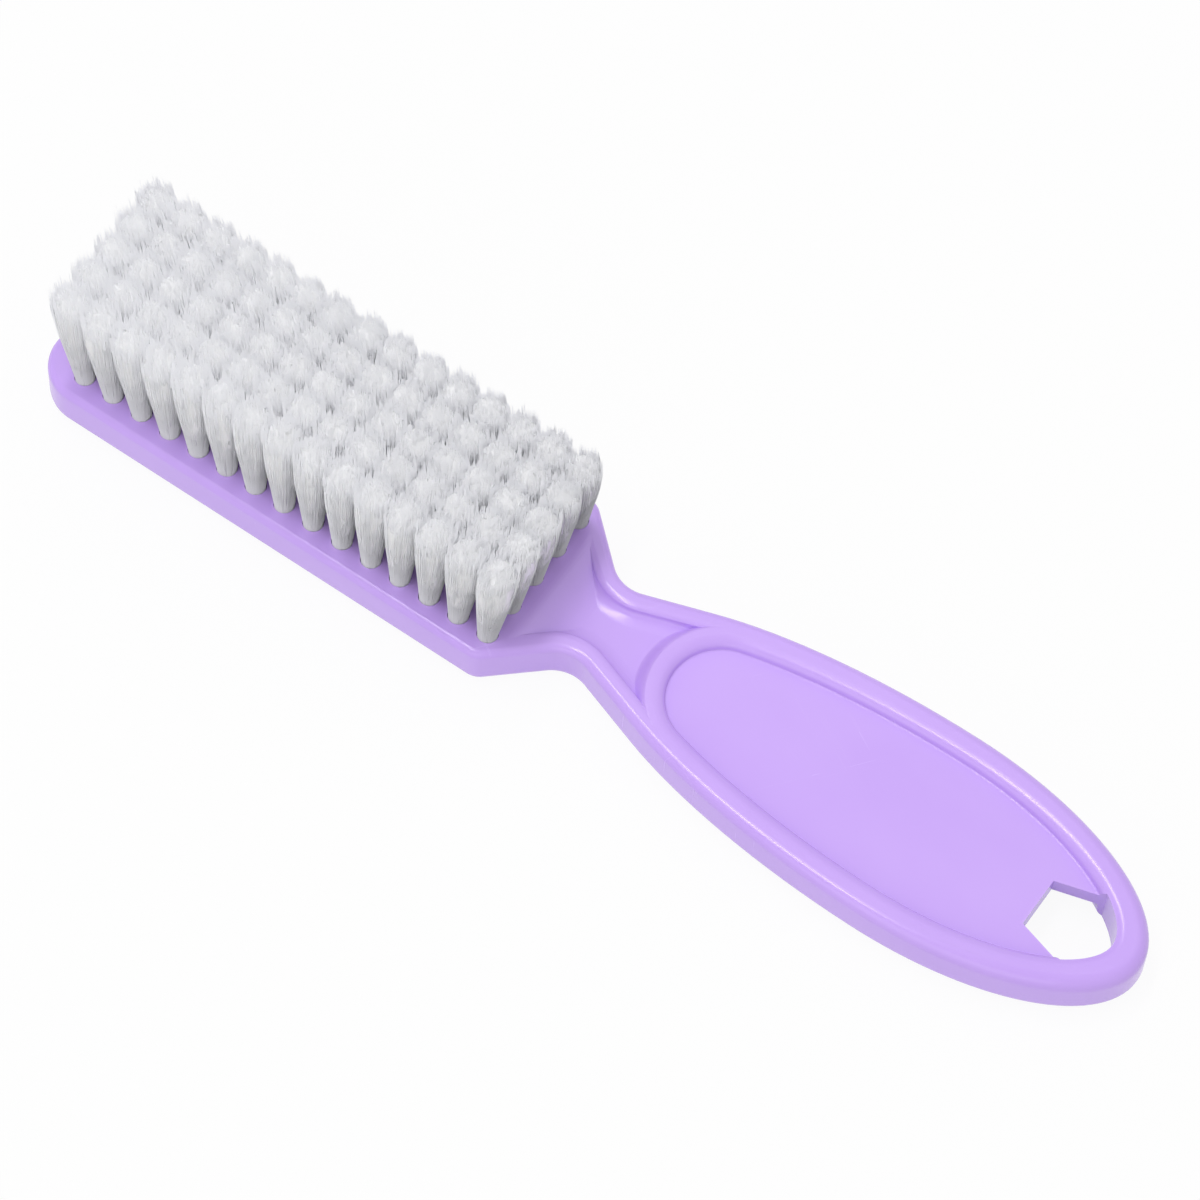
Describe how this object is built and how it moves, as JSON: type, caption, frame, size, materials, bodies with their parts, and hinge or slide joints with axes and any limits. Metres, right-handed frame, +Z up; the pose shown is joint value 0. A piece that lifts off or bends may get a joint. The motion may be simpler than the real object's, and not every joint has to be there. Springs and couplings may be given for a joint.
{
  "type": "nail brush",
  "caption": "Handled nail brush: one-piece moulded body with an oval open handle and hanging hole, and a rectangular head set with tall bristle tufts.",
  "frame": {"origin": "middle of the overall length and width, on the surface that the brush's back lies on", "axes": "+X along the brush from the head to the handle's tail, +Y across it, +Z up, the way the bristles point"},
  "size_m": [0.157, 0.0282, 0.0257],
  "materials": {
    "body_plastic": "lavender injection-moulded plastic, smooth with a soft gloss",
    "bristle": "white nylon filament, slightly translucent",
    "anchor_metal": "drawn flat wire, plain"
  },
  "bodies": {
    "root": {"brush_body": "body_plastic", "tuft_col_01": "bristle", "tuft_col_02": "bristle", "tuft_col_03": "bristle", "tuft_col_04": "bristle", "tuft_col_05": "bristle", "tuft_col_06": "bristle", "tuft_col_07": "bristle", "tuft_col_08": "bristle", "tuft_col_09": "bristle", "tuft_col_10": "bristle", "tuft_col_11": "bristle", "tuft_col_12": "bristle", "tuft_col_13": "bristle", "tuft_col_14": "bristle", "tuft_col_15": "bristle", "anchor_col_01": "anchor_metal", "anchor_col_02": "anchor_metal", "anchor_col_03": "anchor_metal", "anchor_col_04": "anchor_metal", "anchor_col_05": "anchor_metal", "anchor_col_06": "anchor_metal", "anchor_col_07": "anchor_metal", "anchor_col_08": "anchor_metal", "anchor_col_09": "anchor_metal", "anchor_col_10": "anchor_metal", "anchor_col_11": "anchor_metal", "anchor_col_12": "anchor_metal", "anchor_col_13": "anchor_metal", "anchor_col_14": "anchor_metal", "anchor_col_15": "anchor_metal"}
  },
  "joints": []
}
